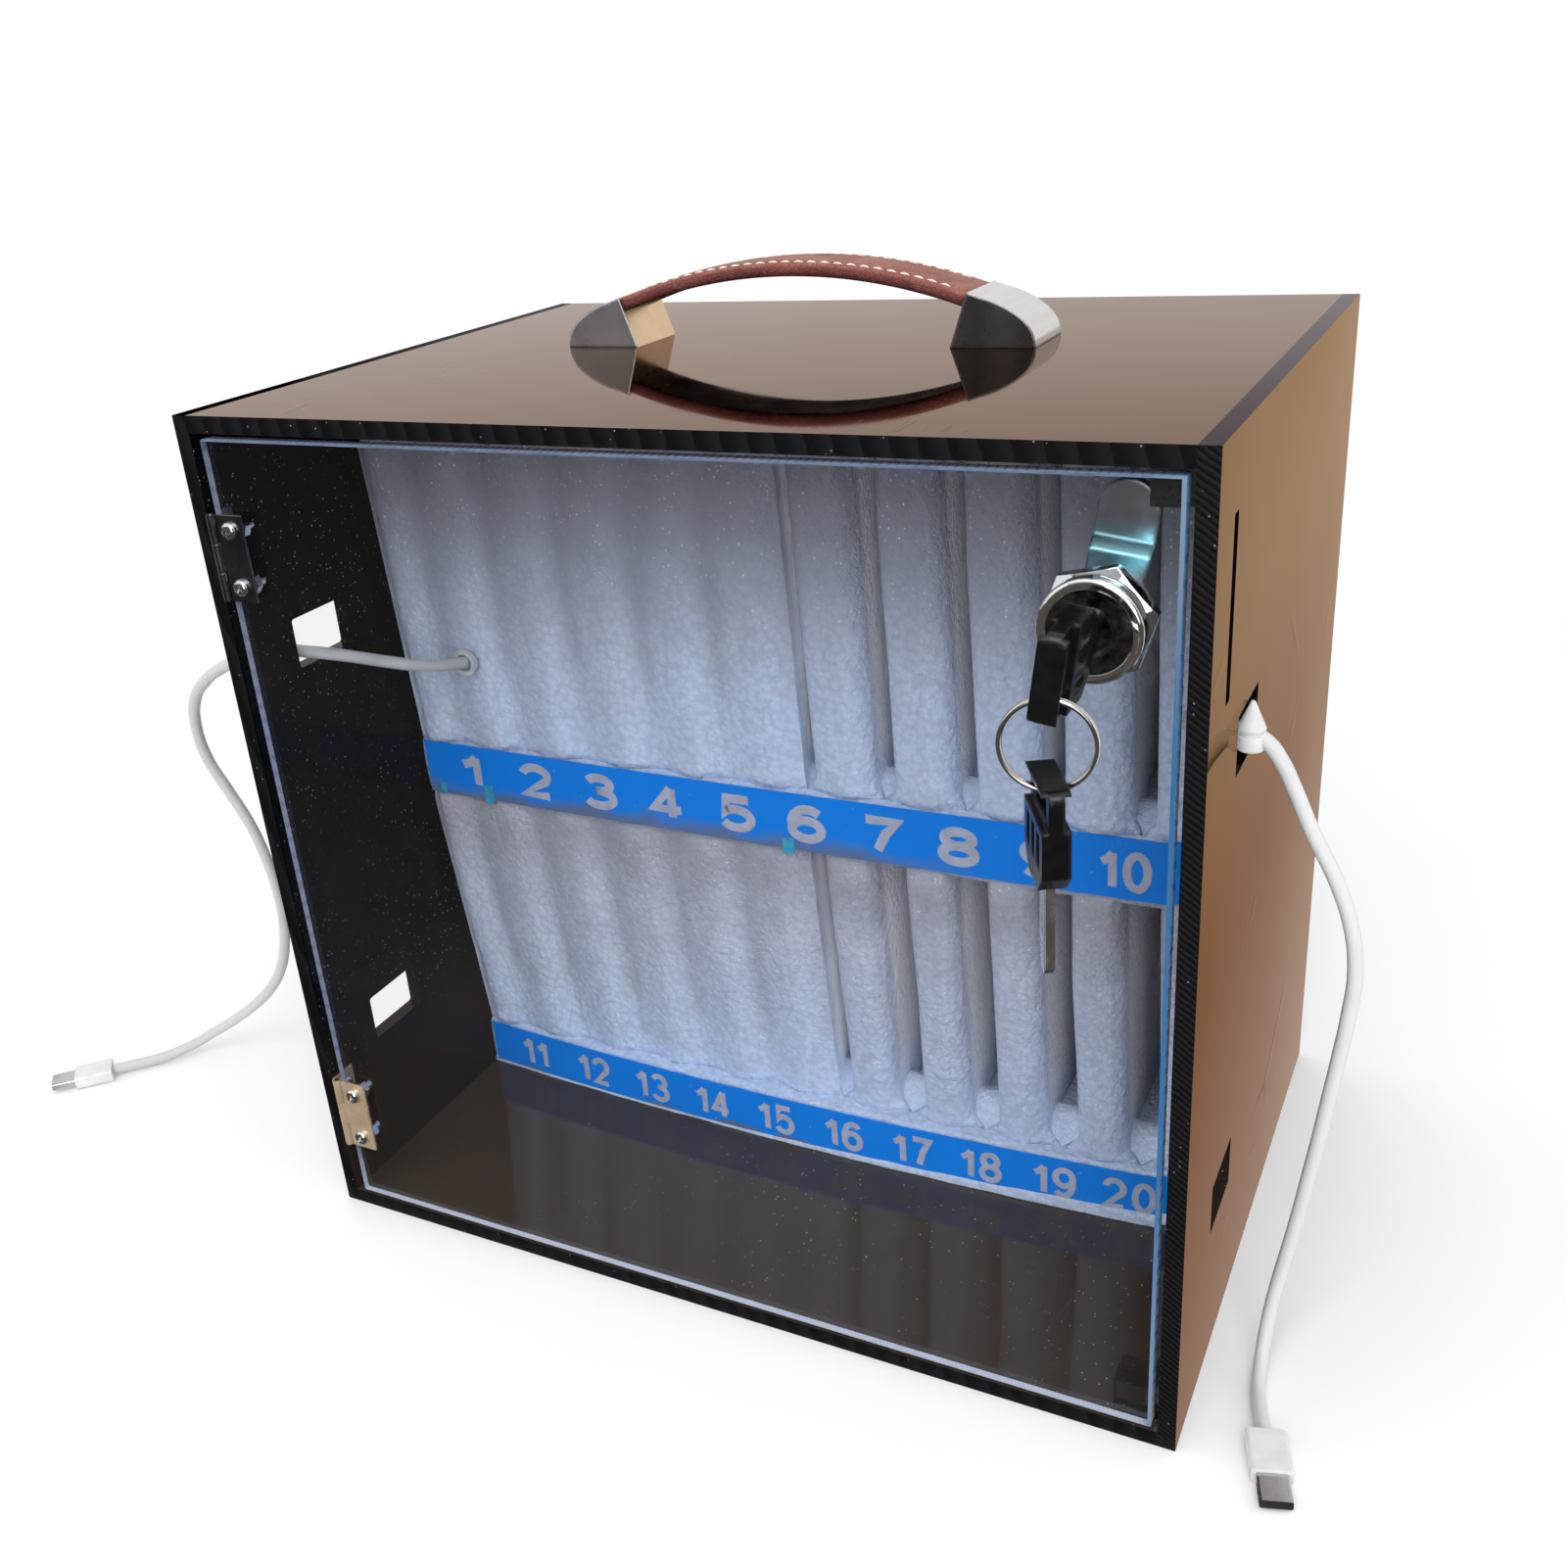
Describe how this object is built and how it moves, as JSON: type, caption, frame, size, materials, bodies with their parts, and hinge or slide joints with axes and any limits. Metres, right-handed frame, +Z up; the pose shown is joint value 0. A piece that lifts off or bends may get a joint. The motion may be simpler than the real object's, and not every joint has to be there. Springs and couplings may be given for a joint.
{
  "type": "slotted locker box with a clear door",
  "caption": "Black acrylic box with a clear hinged door, cam lock with hanging keys, leather carrying handle, two tiers of numbered foam slots and charging cables.",
  "frame": {"origin": "on the table under the middle of the box, that is the centre of the bottom panel's underside between the four panels' outside faces", "axes": "+X to the right seen from the door side, +Y to the back, +Z up; the door is at -Y"},
  "size_m": [0.4856, 0.2417, 0.3005],
  "materials": {
    "black_acrylic": "polished",
    "clear_acrylic": "polished",
    "steel": "satin",
    "chrome": "polished",
    "dark_metal": "satin",
    "black_plastic": "satin",
    "leather": "satin",
    "satin_metal": "satin",
    "foam": "matte",
    "blue_film": "satin",
    "white_plastic": "satin"
  },
  "bodies": {
    "cabinet": {"side_panel_left": "black_acrylic", "side_panel_right": "black_acrylic", "top_panel": "black_acrylic", "bottom_panel": "black_acrylic", "back_panel": "black_acrylic", "hinge_wall_leaves": "steel", "hinge_pins": "steel", "hinge_wall_screws": "steel", "handle_grip": "leather", "handle_cap_left": "satin_metal", "handle_cap_right": "satin_metal", "handle_screws": "steel", "door_stop_upper": "black_acrylic", "door_stop_lower": "clear_acrylic", "foam_back": "foam", "foam_floor_upper": "foam", "foam_floor_lower": "foam", "foam_dividers_upper": "foam", "foam_dividers_lower": "foam", "number_strip_upper": "blue_film", "number_strip_lower": "blue_film", "cable_left": "white_plastic", "cable_left_grommet": "white_plastic", "cable_left_plug_body": "white_plastic", "cable_left_plug_shell": "steel", "cable_right": "white_plastic", "cable_right_sleeve": "white_plastic", "cable_right_plug_body": "white_plastic", "cable_right_plug_shell": "steel"},
    "door": {"door_panel": "clear_acrylic", "hinge_door_leaves": "steel", "hinge_door_screws": "steel", "hinge_door_nuts": "steel", "lock_housing": "chrome", "lock_nut": "chrome"},
    "lock_plug": {"lock_plug": "dark_metal", "stop_washer": "steel", "lock_cam": "steel", "cam_screw": "steel"},
    "key": {"key_blade": "steel", "key_bow": "black_plastic"},
    "ring": {"key_ring": "chrome"},
    "spare_key": {"spare_key_blade": "steel", "spare_key_bow": "black_plastic"}
  },
  "joints": [
    {"name": "door_swing", "type": "hinge", "parent": "cabinet", "child": "door", "pos_m": [-0.138, -0.1014, 0.137], "axis": [0, 0, -1], "range_deg": [0, 110]},
    {"name": "lock_turn", "type": "hinge", "parent": "door", "child": "lock_plug", "pos_m": [0.119, -0.101, 0.235], "axis": [0, 1, 0], "range_deg": [-8, 82]},
    {"name": "key_pull", "type": "slide", "parent": "lock_plug", "child": "key", "axis": [0, -1, 0], "range_m": [0, 0.026]},
    {"name": "ring_hang", "type": "hinge", "parent": "key", "child": "ring", "pos_m": [0.1178, -0.13015, 0.22643], "axis": [0, 1, 0], "range_deg": [-82, 8]},
    {"name": "spare_swing", "type": "hinge", "parent": "ring", "child": "spare_key", "pos_m": [0.1178, -0.13015, 0.20902], "axis": [0.8829, 0.4695, 0], "range_deg": [-35, 25]}
  ],
  "couplings": [
    {"joint": "ring_hang", "follows": "lock_turn", "ratio": -1}
  ]
}
